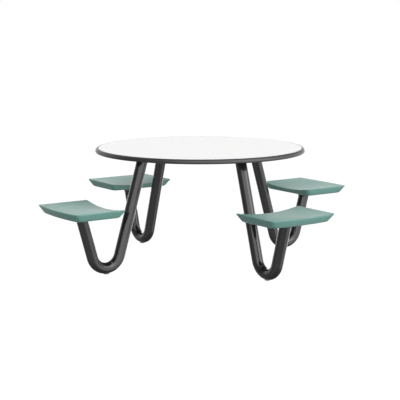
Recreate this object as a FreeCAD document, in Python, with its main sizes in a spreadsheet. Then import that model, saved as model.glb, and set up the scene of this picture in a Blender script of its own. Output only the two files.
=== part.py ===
# Round dining table with four attached swivel seats on bent round tube legs.
# FreeCAD macro, millimetres. Origin on the floor below the middle of the top, +Z up.
# The legs stand on the X and Y axes, so each leg lies in one upright plane.
import FreeCAD, Part
import os

import Sketcher
from FreeCAD import Placement, Rotation, Vector

STATIONS = (1, 2, 3, 4)
TURN_BETWEEN_STATIONS = 90.0
# Lean of the limbs in degrees when they are first drawn; their tangency settles the real one.
DRAWN_LEAN = 15.0

# Driving dimensions, one cell each.
SIZES = {
    # tabletop
    "table_height": 740.0,
    "top_diameter": 1336.0,
    "laminate_thickness": 1.0,
    "core_thickness": 25.5,
    "backer_thickness": 1.0,
    "edge_band_width": 21.0,
    "edge_band_shoulder": 18.0,
    "edge_band_under": 8.0,
    "tongue_depth": 8.0,
    "tongue_height": 5.0,
    # bent leg tube
    "tube_diameter": 70.0,
    "tube_wall": 3.0,
    "leg_top_radius": 429.0,
    "foot_radius": 704.0,
    "bend_radius": 100.0,
    # mounting plate below the top
    "mount_plate_thickness": 6.0,
    "mount_plate_margin": 16.0,
    "mount_plate_corner": 12.0,
    "bolt_offset": 20.0,
    "bolt_diameter": 8.0,
    "bolt_head_diameter": 14.0,
    "bolt_head_height": 4.5,
    "bolt_tip_gap": 2.0,
    "bolt_washer_diameter": 17.0,
    "bolt_washer_thickness": 1.6,
    "insert_diameter": 13.0,
    "insert_length": 16.0,
    # floor glide
    "glide_thickness": 1.5,
    "glide_length": 36.0,
    "glide_width": 22.0,
    "glide_corner": 8.0,
    "glide_stem_diameter": 8.0,
    "glide_stem_reach": 6.0,
    # seat plate and spindle
    "seat_radius": 868.0,
    "seat_plate_margin": 3.5,
    "seat_plate_thickness": 6.0,
    "spigot_diameter": 18.0,
    "spindle_diameter": 25.0,
    # swivel hub and bushes
    "bush_wall": 2.5,
    "bush_gap": 3.0,
    "bush_flange_diameter": 44.0,
    "bush_flange_thickness": 3.0,
    "hub_wall": 8.0,
    "hub_barrel_height": 20.0,
    "hub_flange_margin": 19.0,
    "hub_flange_thickness": 5.0,
    "hub_flange_corner": 18.0,
    "hub_screw_pitch": 112.0,
    "hub_web_rounding": 4.0,
    # retaining washer and screw on the spindle
    "retainer_washer_diameter": 38.0,
    "retainer_washer_thickness": 3.0,
    "retainer_screw_diameter": 10.0,
    "retainer_screw_reach": 18.0,
    "retainer_head_diameter": 18.0,
    "retainer_head_height": 6.0,
    # hub screws
    "seat_screw_diameter": 6.0,
    "seat_screw_reach": 14.0,
    "seat_screw_head_diameter": 12.0,
    "seat_screw_head_height": 4.0,
    # moulded seat
    "seat_height": 431.5,
    "seat_depth": 349.0,
    "seat_width": 483.0,
    "seat_bow": 17.0,
    "seat_side_height": 49.0,
    "seat_taper": 27.8,
    "seat_corner": 16.0,
    "seat_edge_rounding": 4.0,
    "seat_base_rounding": 8.0,
    "dish_front": 25.0,
    "dish_middle": 12.0,
    "dish_back": 1.0,
    "seat_skin": 10.0,
    "seat_rim": 10.0,
    "seat_rib": 8.0,
    "seat_pad_margin": 8.0,
    "recess_margin": 8.0,
    # clearances
    "fit_clearance": 0.05,
    "bolt_hole_clearance": 0.5,
    "axial_clearance": 0.2,
    "head_clearance": 3.0,
}

# Places that follow from the driving dimensions, each a formula in its own cell.
PLACES = {
    # levels of the top, downwards
    "laminate_bottom": "sizes.table_height - sizes.laminate_thickness",
    "core_bottom": "laminate_bottom - sizes.core_thickness",
    "top_bottom": "core_bottom - sizes.backer_thickness",
    "tube_top": "top_bottom - sizes.mount_plate_thickness",
    "bolt_washer_bottom": "tube_top - sizes.bolt_washer_thickness",
    "bolt_head_bottom": "bolt_washer_bottom - sizes.bolt_head_height",
    "insert_top": "core_bottom + sizes.insert_length",
    "bolt_tip": "insert_top - sizes.bolt_tip_gap",
    # radii of the top
    "top_radius": "sizes.top_diameter / 2",
    "core_radius": "top_radius - sizes.edge_band_width",
    "laminate_diameter": "2 * core_radius",
    "tongue_radius": "core_radius - sizes.tongue_depth",
    "groove_radius": "tongue_radius - sizes.fit_clearance",
    "tongue_low": "core_bottom + (sizes.core_thickness - sizes.tongue_height) / 2",
    "tongue_high": "tongue_low + sizes.tongue_height",
    "groove_low": "tongue_low - sizes.fit_clearance",
    "groove_high": "tongue_high + sizes.fit_clearance",
    # bolt pattern round each tube end
    "bolt_half_pitch": "sizes.tube_diameter / 2 + sizes.bolt_offset",
    "bolt_near": "sizes.leg_top_radius - bolt_half_pitch",
    "bolt_far": "sizes.leg_top_radius + bolt_half_pitch",
    "plate_half": "bolt_half_pitch + sizes.mount_plate_margin",
    "plate_near": "sizes.leg_top_radius - plate_half",
    "plate_far": "sizes.leg_top_radius + plate_half",
    "bolt_hole_diameter": "sizes.bolt_diameter + 2 * sizes.bolt_hole_clearance",
    "bolt_bore": "sizes.bolt_diameter + 2 * sizes.fit_clearance",
    "insert_hole": "sizes.insert_diameter + 2 * sizes.fit_clearance",
    # section and bend of the leg tube
    "tube_radius": "sizes.tube_diameter / 2",
    "bore_diameter": "sizes.tube_diameter - 2 * sizes.tube_wall",
    "bend_low": "sizes.glide_thickness + tube_radius",
    "bend_centre": "bend_low + sizes.bend_radius",
    "table_limb_end": "tube_top + tube_radius",
    "seat_limb_end": "tube_end + tube_radius",
    "table_trim_near": "sizes.leg_top_radius - 2 * sizes.tube_diameter",
    "table_trim_far": "sizes.leg_top_radius + 2 * sizes.tube_diameter",
    "seat_trim_near": "sizes.seat_radius - 2 * sizes.tube_diameter",
    "seat_trim_far": "sizes.seat_radius + 2 * sizes.tube_diameter",
    "trim_height": "2 * sizes.tube_diameter",
    # floor glide
    "glide_near": "sizes.foot_radius - sizes.glide_length / 2",
    "glide_far": "sizes.foot_radius + sizes.glide_length / 2",
    "glide_side": "sizes.glide_width / 2",
    "glide_hole": "sizes.glide_stem_diameter + 2 * sizes.fit_clearance",
    "glide_stem_top": "sizes.glide_thickness + sizes.tube_wall + sizes.glide_stem_reach",
    # levels of the swivel, downwards from the underside of the seat
    "seat_bottom": "sizes.seat_height - sizes.seat_side_height",
    "hub_flange_bottom": "seat_bottom - sizes.hub_flange_thickness",
    "hub_bottom": "hub_flange_bottom - sizes.hub_barrel_height",
    "seat_plate_top": "hub_bottom - sizes.bush_flange_thickness",
    "tube_end": "seat_plate_top - sizes.seat_plate_thickness",
    "seat_screw_low": "hub_flange_bottom - sizes.seat_screw_head_height",
    "seat_screw_tip": "seat_bottom + sizes.seat_screw_reach",
    "seat_screw_hole_top": "seat_screw_tip + sizes.head_clearance",
    # levels of the swivel, upwards
    "bush_length": "(seat_bottom - hub_bottom - sizes.bush_gap) / 2",
    "lower_bush_top": "hub_bottom + bush_length",
    "upper_bush_bottom": "seat_bottom - bush_length",
    "upper_bush_top": "seat_bottom + sizes.bush_flange_thickness",
    "spindle_top": "upper_bush_top + sizes.axial_clearance",
    "retainer_washer_top": "spindle_top + sizes.retainer_washer_thickness",
    "retainer_head_top": "retainer_washer_top + sizes.retainer_head_height",
    "retainer_tip": "spindle_top - sizes.retainer_screw_reach",
    "tapped_hole_bottom": "retainer_tip - sizes.axial_clearance",
    "recess_top": "retainer_head_top + sizes.head_clearance",
    # radii and diameters of the swivel
    "seat_plate_diameter": "sizes.tube_diameter + 2 * sizes.seat_plate_margin",
    "spigot_radius": "sizes.spigot_diameter / 2",
    "spigot_hole": "sizes.spigot_diameter + 2 * sizes.fit_clearance",
    "spindle_radius": "sizes.spindle_diameter / 2",
    "tapped_hole_radius": "sizes.retainer_screw_diameter / 2 + sizes.fit_clearance",
    "bush_bore_radius": "spindle_radius + sizes.fit_clearance",
    "bush_radius": "bush_bore_radius + sizes.bush_wall",
    "bush_flange_radius": "sizes.bush_flange_diameter / 2",
    "hub_bore": "2 * (bush_radius + sizes.fit_clearance)",
    "hub_barrel_diameter": "hub_bore + 2 * sizes.hub_wall",
    "hub_screw_half": "sizes.hub_screw_pitch / 2",
    "hub_flange_half": "hub_screw_half + sizes.hub_flange_margin",
    "hub_screw_hole": "sizes.seat_screw_diameter + 2 * sizes.bolt_hole_clearance",
    "seat_screw_hole": "sizes.seat_screw_diameter + 2 * sizes.fit_clearance",
    "retainer_bore": "sizes.retainer_screw_diameter + 2 * sizes.fit_clearance",
    "recess_diameter": "sizes.bush_flange_diameter + 2 * sizes.recess_margin",
    # moulded seat
    "seat_half_depth": "sizes.seat_depth / 2",
    "seat_half_width": "sizes.seat_width / 2",
    "base_half_depth": "seat_half_depth - sizes.seat_taper",
    "base_half_width": "seat_half_width - sizes.seat_taper",
    "base_bow_radius": "(pow(base_half_width; 2) + pow(sizes.seat_bow; 2)) / (2 * sizes.seat_bow)",
    "blank_top": "sizes.seat_height + sizes.dish_front",
    "dish_reach": "seat_half_depth + sizes.seat_side_height",
    "dish_half": "seat_half_width + sizes.seat_side_height",
    "dish_cover": "blank_top + sizes.seat_side_height",
    "pad_half": "hub_flange_half + sizes.seat_pad_margin",
    "core_end": "base_half_depth - sizes.seat_rim",
    "core_side": "base_half_width - sizes.seat_rim",
    "core_cell_half": "(core_end - sizes.seat_rib) / 3",
    "core_cell_near": "core_end - 2 * core_cell_half",
    "core_near": "pad_half + sizes.seat_rib",
    "core_top": "sizes.seat_height - sizes.dish_front - sizes.seat_skin",
}


def make_sheet(name, cells, formula):
    """A spreadsheet with one named cell per row."""
    sheet = doc.addObject("Spreadsheet::Sheet", name)
    for row, (alias, content) in enumerate(cells.items(), start=1):
        sheet.set(f"A{row}", alias)
        sheet.setAlias(f"B{row}", alias)
        sheet.set(f"B{row}", f"={content}" if formula else str(content))
    doc.recompute()
    return sheet


def ref(word):
    """Expression and present value of a cell; a leading minus gives its mirror image."""
    name = word.lstrip("-")
    sheet = sizes if name in SIZES else places
    sign = "-" if word.startswith("-") else ""
    value = float(sheet.get(name))
    return f"{sign}{sheet.Name}.{name}", -value if sign else value


def bind(thing, prop, word):
    """Ties a property to a cell."""
    thing.setExpression(prop, ref(word)[0])


def new_body(label, station=1, on_seat_axis=False):
    """A body turned to its station, and moved out to the seat's axis where it belongs there."""
    body = doc.addObject("PartDesign::Body", label)
    body.Label = label
    angle = (station - 1) * TURN_BETWEEN_STATIONS
    body.Placement = Placement(Vector(), Rotation(Vector(0, 0, 1), angle))
    if on_seat_axis:
        body.setExpression("Placement.Base.x", f"sizes.seat_radius * cos({angle} deg)")
        body.setExpression("Placement.Base.y", f"sizes.seat_radius * sin({angle} deg)")
    nodes.append(body)
    return body


def origin(body, role):
    """One of the body's own origin planes or axes."""
    return next(item for item in body.Origin.OriginFeatures if item.Role == role)


def sketch_on(body, name, role, height=None, side=None):
    """A sketch on an origin plane, moved along its normal to a named height."""
    sketch = body.newObject("Sketcher::SketchObject", f"{body.Name}_{name}")
    sketch.AttachmentSupport = [(origin(body, role), "")]
    sketch.MapMode = "FlatFace"
    if height:
        bind(sketch, "AttachmentOffset.Base.z", height)
    if side:
        bind(sketch, "AttachmentOffset.Base.y", side)
    return sketch


def pin(sketch, geometry, point, place):
    """Holds one point of a sketch at a place given as two cell names."""
    for kind, axis, word in (("DistanceX", -2, place[0]), ("DistanceY", -1, place[1])):
        if word == "0":
            sketch.addConstraint(Sketcher.Constraint("PointOnObject", geometry, point, axis))
        elif word:
            expression, value = ref(word)
            index = sketch.addConstraint(Sketcher.Constraint(kind, -1, 1, geometry, point, value))
            sketch.setExpression(f"Constraints[{index}]", expression)


def dimension(sketch, kind, geometry, word):
    """A radius or diameter tied to a cell."""
    expression, value = ref(word)
    index = sketch.addConstraint(Sketcher.Constraint(kind, geometry, value))
    sketch.setExpression(f"Constraints[{index}]", expression)


def spot(place):
    """Present position of a place given as two cell names."""
    return Vector(*(0.0 if word == "0" else ref(word)[1] for word in place), 0.0)


def polygon(sketch, corners):
    """Closed outline of straight lines."""
    first = sketch.GeometryCount
    count = len(corners)
    for i in range(count):
        sketch.addGeometry(Part.LineSegment(spot(corners[i]), spot(corners[(i + 1) % count])), False)
    for i in range(count):
        following = first + (i + 1) % count
        sketch.addConstraint(Sketcher.Constraint("Coincident", first + i, 2, following, 1))
        pin(sketch, first + i, 1, corners[i])


def rectangle(sketch, near, far, low, high):
    """Upright rectangle between two cells across and two cells up."""
    polygon(sketch, ((near, low), (far, low), (far, high), (near, high)))


def circle(sketch, place, diameter):
    """Full circle at a place."""
    radius = ref(diameter)[1] / 2
    index = sketch.addGeometry(Part.Circle(spot(place), Vector(0, 0, 1), radius), False)
    if place == ("0", "0"):
        sketch.addConstraint(Sketcher.Constraint("Coincident", index, 3, -1, 1))
    else:
        pin(sketch, index, 3, place)
    dimension(sketch, "Diameter", index, diameter)


def radians(*degrees):
    """Angles in radians."""
    return [FreeCAD.Units.Quantity(f"{angle} deg").getValueAs("rad").Value for angle in degrees]


def pad(body, sketch, low, high):
    """Pad from the sketch's level up to a higher level."""
    feature = body.newObject("PartDesign::Pad", f"{sketch.Name}_pad")
    feature.Profile = sketch
    feature.setExpression("Length", f"{ref(high)[0]} - {ref(low)[0]}")
    return feature


def cut_up(body, sketch, height, name="cut"):
    """Pocket that goes up from its sketch by a length expression."""
    feature = body.newObject("PartDesign::Pocket", f"{sketch.Name}_{name}")
    feature.Profile = sketch
    feature.Reversed = True
    feature.setExpression("Length", height)
    return feature


def revolve(body, sketch):
    """Full turn of a profile about the body's upright axis."""
    feature = body.newObject("PartDesign::Revolution", f"{sketch.Name}_turn")
    feature.Profile = sketch
    feature.ReferenceAxis = (origin(body, "Z_Axis"), [""])
    feature.Angle = 360.0
    return feature


def repeat_round(body, features):
    """Copies of features at all four stations."""
    pattern = body.newObject("PartDesign::PolarPattern", f"{body.Name}_round")
    pattern.Originals = features
    pattern.Axis = (origin(body, "Z_Axis"), [""])
    pattern.Angle = 360.0
    pattern.Occurrences = len(STATIONS)
    body.Tip = pattern
    return pattern


def edges_where(feature, test):
    """Names of the edges of a finished feature that pass a test."""
    doc.recompute()
    return [f"Edge{i}" for i, edge in enumerate(feature.Shape.Edges, start=1) if test(edge)]


def round_edges(body, feature, test, radius):
    """Fillet on the edges of a feature that pass a test."""
    fillet = body.newObject("PartDesign::Fillet", f"{feature.Name}_round")
    fillet.Base = (feature, edges_where(feature, test))
    bind(fillet, "Radius", radius)
    return fillet


def is_upright(edge):
    """A straight edge that is parallel to Z."""
    box = edge.BoundBox
    return box.XLength < 1e-6 and box.YLength < 1e-6


def is_rising(edge):
    """An edge that climbs from one level to another."""
    return edge.BoundBox.ZLength > 1.0


def at_level(edge, level):
    """An edge that lies flat at one height."""
    box = edge.BoundBox
    return abs(box.ZMin - level) < 1e-4 and abs(box.ZMax - level) < 1e-4


def bolt_places():
    """The four bolts of the first leg."""
    return [(x, y) for x in ("bolt_near", "bolt_far") for y in ("bolt_half_pitch", "-bolt_half_pitch")]


def hub_screw_places():
    """The four screws of one hub."""
    sides = ("hub_screw_half", "-hub_screw_half")
    return [(x, y) for x in sides for y in sides]


# Tabletop

def make_core():
    body = new_body("top_core")
    profile = sketch_on(body, "section", "XZ_Plane")
    polygon(profile, (
        ("0", "core_bottom"), ("core_radius", "core_bottom"), ("core_radius", "groove_low"),
        ("groove_radius", "groove_low"), ("groove_radius", "groove_high"),
        ("core_radius", "groove_high"), ("core_radius", "laminate_bottom"), ("0", "laminate_bottom"),
    ))
    revolve(body, profile)
    holes = sketch_on(body, "insert_holes", "XY_Plane", "core_bottom")
    for place in bolt_places():
        circle(holes, place, "insert_hole")
    repeat_round(body, [cut_up(body, holes, "sizes.insert_length")])


def make_laminate():
    body = new_body("top_laminate")
    outline = sketch_on(body, "outline", "XY_Plane", "laminate_bottom")
    circle(outline, ("0", "0"), "laminate_diameter")
    pad(body, outline, "laminate_bottom", "table_height")


def make_backer():
    body = new_body("top_backer")
    outline = sketch_on(body, "outline", "XY_Plane", "top_bottom")
    circle(outline, ("0", "0"), "laminate_diameter")
    pad(body, outline, "top_bottom", "core_bottom")
    holes = sketch_on(body, "insert_holes", "XY_Plane", "top_bottom")
    for place in bolt_places():
        circle(holes, place, "insert_hole")
    repeat_round(body, [cut_up(body, holes, "sizes.backer_thickness")])


def make_edge_band():
    body = new_body("edge_band")
    profile = sketch_on(body, "section", "XZ_Plane")
    polygon(profile, (
        ("core_radius", "top_bottom"), ("top_radius", "top_bottom"), ("top_radius", "table_height"),
        ("core_radius", "table_height"), ("core_radius", "tongue_high"), ("tongue_radius", "tongue_high"),
        ("tongue_radius", "tongue_low"), ("core_radius", "tongue_low"),
    ))
    ring = revolve(body, profile)
    rim = ref("top_diameter")[1]
    for level, radius in (("table_height", "edge_band_shoulder"), ("top_bottom", "edge_band_under")):
        height = ref(level)[1]
        ring = round_edges(body, ring, lambda edge: at_level(edge, height)
                           and abs(edge.BoundBox.XLength - rim) < 1e-3, radius)


def make_top_hardware():
    inserts = new_body("top_inserts")
    rings = sketch_on(inserts, "rings", "XY_Plane", "core_bottom")
    for place in bolt_places():
        circle(rings, place, "insert_diameter")
        circle(rings, place, "bolt_bore")
    repeat_round(inserts, [pad(inserts, rings, "core_bottom", "insert_top")])

    washers = new_body("leg_bolt_washers")
    rings = sketch_on(washers, "rings", "XY_Plane", "bolt_washer_bottom")
    for place in bolt_places():
        circle(rings, place, "bolt_washer_diameter")
        circle(rings, place, "bolt_bore")
    repeat_round(washers, [pad(washers, rings, "bolt_washer_bottom", "tube_top")])

    bolts = new_body("leg_bolts")
    heads = sketch_on(bolts, "heads", "XY_Plane", "bolt_head_bottom")
    shanks = sketch_on(bolts, "shanks", "XY_Plane", "bolt_head_bottom")
    for place in bolt_places():
        circle(heads, place, "bolt_head_diameter")
        circle(shanks, place, "bolt_diameter")
    features = [pad(bolts, heads, "bolt_head_bottom", "bolt_washer_bottom")]
    features.append(pad(bolts, shanks, "bolt_head_bottom", "bolt_tip"))
    repeat_round(bolts, features)


# Legs

def limb_path(body, name, end_radius, end_level, end_height, inward):
    """Centre line of half a leg: a quarter of the bend from its lowest point, then a straight limb."""
    sketch = sketch_on(body, name, "XZ_Plane")
    centre = spot(("foot_radius", "bend_centre"))
    radius = ref("bend_radius")[1]
    begin, end = radians(180.0 + DRAWN_LEAN, 270.0) if inward else radians(270.0, 360.0 - DRAWN_LEAN)
    ring = Part.Circle(centre, Vector(0, 0, 1), radius)
    arc = sketch.addGeometry(Part.ArcOfCircle(ring, begin, end), False)
    low, tangent = (2, 1) if inward else (1, 2)
    start = sketch.getPoint(arc, tangent)
    target = spot((end_radius, end_level))
    tip = start + (target - start) * ((ref(end_height)[1] - start.y) / (target.y - start.y))
    line = sketch.addGeometry(Part.LineSegment(start, tip), False)
    point = sketch.addGeometry(Part.Point(target), True)
    pin(sketch, arc, 3, ("foot_radius", "bend_centre"))
    dimension(sketch, "Radius", arc, "bend_radius")
    pin(sketch, arc, low, ("foot_radius", ""))
    sketch.addConstraint(Sketcher.Constraint("Tangent", line, 1, arc, tangent))
    pin(sketch, point, 1, (end_radius, end_level))
    sketch.addConstraint(Sketcher.Constraint("PointOnObject", point, 1, line))
    pin(sketch, line, 2, ("", end_height))
    return sketch


def make_leg_tube(station):
    body = new_body(f"leg_tube_{station}", station)
    section = sketch_on(body, "section", "YZ_Plane", "foot_radius", "bend_low")
    circle(section, ("0", "0"), "tube_diameter")
    circle(section, ("0", "0"), "bore_diameter")
    limbs = (
        ("table_limb", "leg_top_radius", "tube_top", "table_limb_end", True),
        ("seat_limb", "seat_radius", "tube_end", "seat_limb_end", False),
    )
    for name, end_radius, end_level, end_height, inward in limbs:
        path = limb_path(body, f"{name}_path", end_radius, end_level, end_height, inward)
        limb = body.newObject("PartDesign::AdditivePipe", f"{body.Name}_{name}")
        limb.Profile = section
        limb.Spine = (path, ["Edge1", "Edge2"])
    ends = (
        ("table_end", "tube_top", "table_trim_near", "table_trim_far"),
        ("seat_end", "tube_end", "seat_trim_near", "seat_trim_far"),
    )
    for name, level, near, far in ends:
        trim = sketch_on(body, name, "XY_Plane", level)
        rectangle(trim, near, far, "-tube_diameter", "tube_diameter")
        cut_up(body, trim, "places.trim_height")
    hole = sketch_on(body, "glide_hole", "XY_Plane")
    circle(hole, ("foot_radius", "0"), "glide_hole")
    cut_up(body, hole, "places.bend_low")


def make_mount_plate(station):
    body = new_body(f"leg_mount_plate_{station}", station)
    outline = sketch_on(body, "outline", "XY_Plane", "tube_top")
    rectangle(outline, "plate_near", "plate_far", "-plate_half", "plate_half")
    plate = pad(body, outline, "tube_top", "top_bottom")
    round_edges(body, plate, is_upright, "mount_plate_corner")
    holes = sketch_on(body, "bolt_holes", "XY_Plane", "tube_top")
    for place in bolt_places():
        circle(holes, place, "bolt_hole_diameter")
    cut_up(body, holes, "sizes.mount_plate_thickness")


def make_glide(station):
    body = new_body(f"floor_glide_{station}", station)
    outline = sketch_on(body, "outline", "XY_Plane")
    rectangle(outline, "glide_near", "glide_far", "-glide_side", "glide_side")
    block = body.newObject("PartDesign::Pad", f"{body.Name}_block")
    block.Profile = outline
    bind(block, "Length", "bend_low")
    round_edges(body, block, is_upright, "glide_corner")
    bend = sketch_on(body, "bend", "YZ_Plane", "foot_radius", "bend_centre")
    circle(bend, ("0", "-bend_radius"), "tube_diameter")
    saddle = body.newObject("PartDesign::Groove", f"{body.Name}_saddle")
    saddle.Profile = bend
    saddle.ReferenceAxis = (bend, ["H_Axis"])
    saddle.Angle = 360.0
    stem = sketch_on(body, "stem", "XY_Plane")
    circle(stem, ("foot_radius", "0"), "glide_stem_diameter")
    rise = body.newObject("PartDesign::Pad", f"{body.Name}_stem_pad")
    rise.Profile = stem
    bind(rise, "Length", "glide_stem_top")


# Swivels

def make_seat_plate(station):
    body = new_body(f"seat_plate_{station}", station, on_seat_axis=True)
    outline = sketch_on(body, "outline", "XY_Plane", "tube_end")
    circle(outline, ("0", "0"), "seat_plate_diameter")
    circle(outline, ("0", "0"), "spigot_hole")
    pad(body, outline, "tube_end", "seat_plate_top")


def make_spindle(station):
    body = new_body(f"spindle_{station}", station, on_seat_axis=True)
    profile = sketch_on(body, "section", "XZ_Plane")
    polygon(profile, (
        ("0", "tube_end"), ("spigot_radius", "tube_end"), ("spigot_radius", "seat_plate_top"),
        ("spindle_radius", "seat_plate_top"), ("spindle_radius", "spindle_top"),
        ("tapped_hole_radius", "spindle_top"), ("tapped_hole_radius", "tapped_hole_bottom"),
        ("0", "tapped_hole_bottom"),
    ))
    revolve(body, profile)


def make_bushes(station):
    levels = {
        "lower_bush": ("seat_plate_top", "hub_bottom", "lower_bush_top"),
        "upper_bush": ("upper_bush_top", "seat_bottom", "upper_bush_bottom"),
    }
    for name, (outer, shoulder, inner) in levels.items():
        body = new_body(f"{name}_{station}", station, on_seat_axis=True)
        profile = sketch_on(body, "section", "XZ_Plane")
        polygon(profile, (
            ("bush_bore_radius", outer), ("bush_flange_radius", outer), ("bush_flange_radius", shoulder),
            ("bush_radius", shoulder), ("bush_radius", inner), ("bush_bore_radius", inner),
        ))
        revolve(body, profile)


def make_hub(station):
    body = new_body(f"swivel_hub_{station}", station, on_seat_axis=True)
    outline = sketch_on(body, "flange", "XY_Plane", "hub_flange_bottom")
    rectangle(outline, "-hub_flange_half", "hub_flange_half", "-hub_flange_half", "hub_flange_half")
    flange = pad(body, outline, "hub_flange_bottom", "seat_bottom")
    round_edges(body, flange, is_upright, "hub_flange_corner")
    ring = sketch_on(body, "barrel", "XY_Plane", "hub_bottom")
    circle(ring, ("0", "0"), "hub_barrel_diameter")
    barrel = pad(body, ring, "hub_bottom", "seat_bottom")
    level = ref("hub_flange_bottom")[1]
    width = ref("hub_barrel_diameter")[1]
    round_edges(body, barrel, lambda edge: at_level(edge, level)
                and abs(edge.BoundBox.XLength - width) < 1e-3, "hub_web_rounding")
    holes = sketch_on(body, "holes", "XY_Plane", "hub_bottom")
    circle(holes, ("0", "0"), "hub_bore")
    for place in hub_screw_places():
        circle(holes, place, "hub_screw_hole")
    cut_up(body, holes, "places.seat_bottom - places.hub_bottom")


def make_retainers():
    washers = new_body("retaining_washers")
    rings = sketch_on(washers, "rings", "XY_Plane", "spindle_top")
    circle(rings, ("seat_radius", "0"), "retainer_washer_diameter")
    circle(rings, ("seat_radius", "0"), "retainer_bore")
    repeat_round(washers, [pad(washers, rings, "spindle_top", "retainer_washer_top")])

    screws = new_body("retaining_screws")
    shank = sketch_on(screws, "shank", "XY_Plane", "retainer_tip")
    circle(shank, ("seat_radius", "0"), "retainer_screw_diameter")
    head = sketch_on(screws, "head", "XY_Plane", "retainer_washer_top")
    circle(head, ("seat_radius", "0"), "retainer_head_diameter")
    features = [pad(screws, shank, "retainer_tip", "retainer_head_top")]
    features.append(pad(screws, head, "retainer_washer_top", "retainer_head_top"))
    repeat_round(screws, features)


# Seats

def dish_section(body, name, reach, depth):
    """Area above a shallow arc that drops by the dish's depth between the seat's two sides."""
    sketch = sketch_on(body, name, "YZ_Plane", reach)
    half, drop = ref("seat_half_width")[1], ref(depth)[1]
    radius = (half * half + drop * drop) / (2 * drop)
    wide, cover = ref("dish_half")[1], ref("dish_cover")[1]
    low = ref("seat_height")[1] - drop
    end = low + radius - (radius * radius - wide * wide) ** 0.5
    left, right = Vector(-wide, end, 0), Vector(wide, end, 0)
    sketch.addGeometry(Part.Arc(left, Vector(0, low, 0), right), False)
    sketch.addGeometry(Part.LineSegment(right, Vector(wide, cover, 0)), False)
    sketch.addGeometry(Part.LineSegment(Vector(wide, cover, 0), Vector(-wide, cover, 0)), False)
    sketch.addGeometry(Part.LineSegment(Vector(-wide, cover, 0), left), False)
    for before, after in ((0, 1), (1, 2), (2, 3)):
        sketch.addConstraint(Sketcher.Constraint("Coincident", before, 2, after, 1))
    sketch.addConstraint(Sketcher.Constraint("Coincident", 3, 2, 0, 1))
    sketch.addConstraint(Sketcher.Constraint("PointOnObject", 0, 3, -2))
    side = sketch.addGeometry(Part.Point(Vector(half, low + drop, 0)), True)
    pin(sketch, side, 1, ("seat_half_width", "seat_height"))
    sketch.addConstraint(Sketcher.Constraint("PointOnObject", side, 1, 0))
    index = sketch.addConstraint(Sketcher.Constraint("Radius", 0, radius))
    sketch.setExpression(
        f"Constraints[{index}]",
        f"(pow(places.seat_half_width; 2) + pow(sizes.{depth}; 2)) / (2 * sizes.{depth})")
    pin(sketch, 2, 1, ("dish_half", "dish_cover"))
    pin(sketch, 2, 2, ("-dish_half", "dish_cover"))
    pin(sketch, 1, 1, ("dish_half", ""))
    pin(sketch, 3, 2, ("-dish_half", ""))
    return sketch


def seat_outline(body):
    """Outline of the seat's underside: straight towards the table and at both sides, bowed at the back."""
    sketch = sketch_on(body, "base", "XY_Plane", "seat_bottom")
    depth, width, bow = (ref(word)[1] for word in ("base_half_depth", "base_half_width", "seat_bow"))
    front_right, front_left = Vector(-depth, width, 0), Vector(-depth, -width, 0)
    back_right, back_left = Vector(depth, width, 0), Vector(depth, -width, 0)
    sketch.addGeometry(Part.Arc(back_left, Vector(depth + bow, 0, 0), back_right), False)
    for begin, end in ((back_right, front_right), (front_right, front_left), (front_left, back_left)):
        sketch.addGeometry(Part.LineSegment(begin, end), False)
    for before in range(4):
        sketch.addConstraint(Sketcher.Constraint("Coincident", before, 2, (before + 1) % 4, 1))
    pin(sketch, 1, 1, ("base_half_depth", "base_half_width"))
    pin(sketch, 2, 1, ("-base_half_depth", "base_half_width"))
    pin(sketch, 3, 1, ("-base_half_depth", "-base_half_width"))
    pin(sketch, 3, 2, ("base_half_depth", "-base_half_width"))
    dimension(sketch, "Radius", 0, "base_bow_radius")
    return sketch


def make_seat(station):
    body = new_body(f"seat_shell_{station}", station, on_seat_axis=True)
    block = pad(body, seat_outline(body), "seat_bottom", "blank_top")
    block.setExpression("TaperAngle", "atan(sizes.seat_taper / sizes.seat_side_height)")
    floor = ref("seat_bottom")[1]
    shell = round_edges(body, block, is_rising, "seat_corner")
    round_edges(body, shell, lambda edge: at_level(edge, floor), "seat_base_rounding")
    dish = body.newObject("PartDesign::SubtractiveLoft", f"{body.Name}_dish")
    sections = [
        dish_section(body, "dish_front", "-dish_reach", "dish_front"),
        dish_section(body, "dish_middle", None, "dish_middle"),
        dish_section(body, "dish_back", "dish_reach", "dish_back"),
    ]
    dish.Profile = sections[0]
    dish.Sections = sections[1:]
    ledge = ref("core_top")[1]
    round_edges(body, dish, lambda edge: edge.BoundBox.ZMin > ledge, "seat_edge_rounding")
    recess = sketch_on(body, "recess", "XY_Plane", "seat_bottom")
    circle(recess, ("0", "0"), "recess_diameter")
    cut_up(body, recess, "places.recess_top - places.seat_bottom")
    holes = sketch_on(body, "screw_holes", "XY_Plane", "seat_bottom")
    for place in hub_screw_places():
        circle(holes, place, "seat_screw_hole")
    cut_up(body, holes, "places.seat_screw_hole_top - places.seat_bottom")
    core_out_seat(body)


def core_out_seat(body):
    """Cored cells in the underside, which leave a rim, ribs and the pad for the hub."""
    cells = sketch_on(body, "cells", "XY_Plane", "seat_bottom")
    for side in ("", "-"):
        near, far = f"{side}core_near", f"{side}core_side"
        rectangle(cells, "-core_cell_half", "core_cell_half", near, far)
        for end in ("", "-"):
            rectangle(cells, f"{end}core_cell_near", f"{end}core_end", near, far)
        rectangle(cells, f"{side}core_near", f"{side}core_end", "-pad_half", "pad_half")
    cut_up(body, cells, "places.core_top - places.seat_bottom")


def make_seat_screws(station):
    body = new_body(f"seat_screws_{station}", station, on_seat_axis=True)
    heads = sketch_on(body, "heads", "XY_Plane", "seat_screw_low")
    shanks = sketch_on(body, "shanks", "XY_Plane", "seat_screw_low")
    for place in hub_screw_places():
        circle(heads, place, "seat_screw_head_diameter")
        circle(shanks, place, "seat_screw_diameter")
    pad(body, heads, "seat_screw_low", "hub_flange_bottom")
    pad(body, shanks, "seat_screw_low", "seat_screw_tip")


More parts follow.
